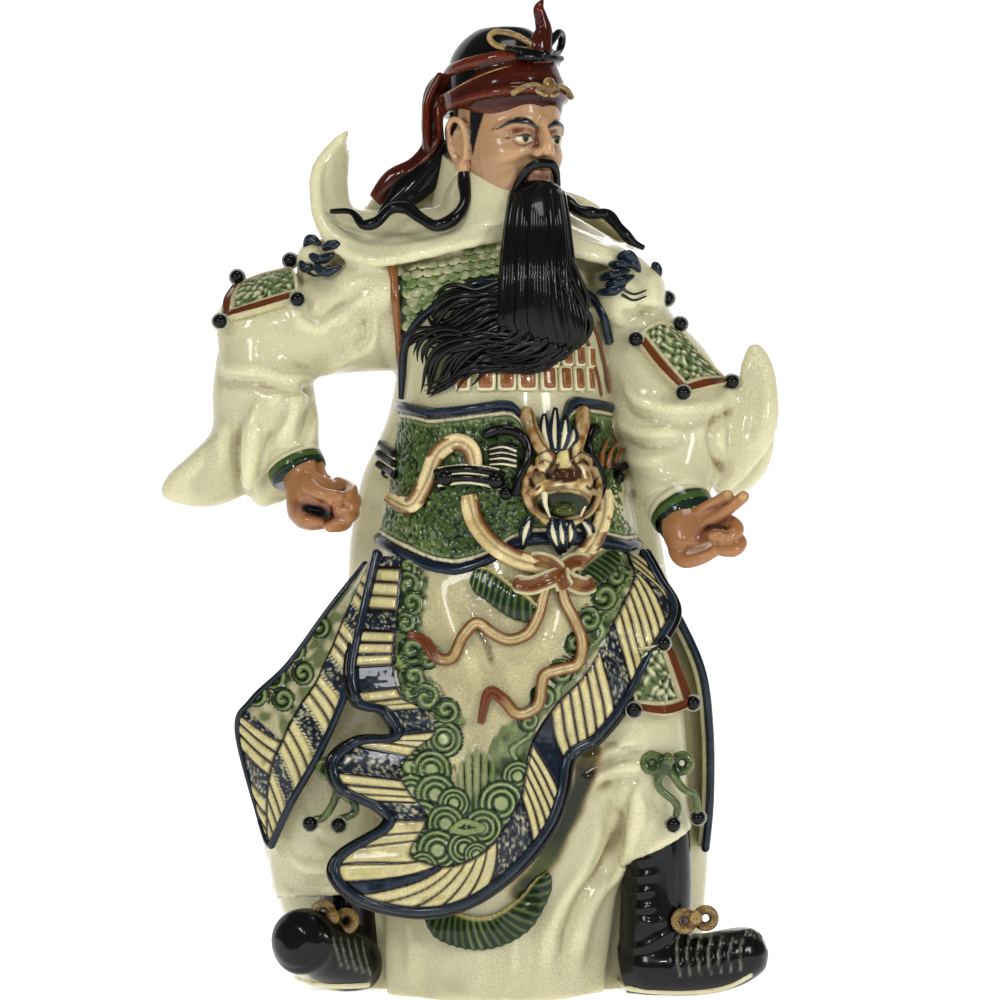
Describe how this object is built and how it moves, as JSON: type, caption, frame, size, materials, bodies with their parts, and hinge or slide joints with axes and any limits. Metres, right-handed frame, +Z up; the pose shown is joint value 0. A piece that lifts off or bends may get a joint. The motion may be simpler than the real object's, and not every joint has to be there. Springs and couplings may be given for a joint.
{
  "type": "guan yu statue",
  "caption": "Standing robed and bearded warrior general in crackle-glazed ceramic, one piece from cap to hem, with a fist pierced to take a long-handled weapon.",
  "frame": {"origin": "on the ground, under the middle of the statue's width and depth", "axes": "+Z up to the cap; -Y towards the front of the figure as pictured; +X to the right of someone facing it"},
  "size_m": [0.5052, 0.2444, 0.7991],
  "materials": {
    "glazed_body": "gloss"
  },
  "bodies": {
    "root": {"statue": "glazed_body"}
  },
  "joints": []
}
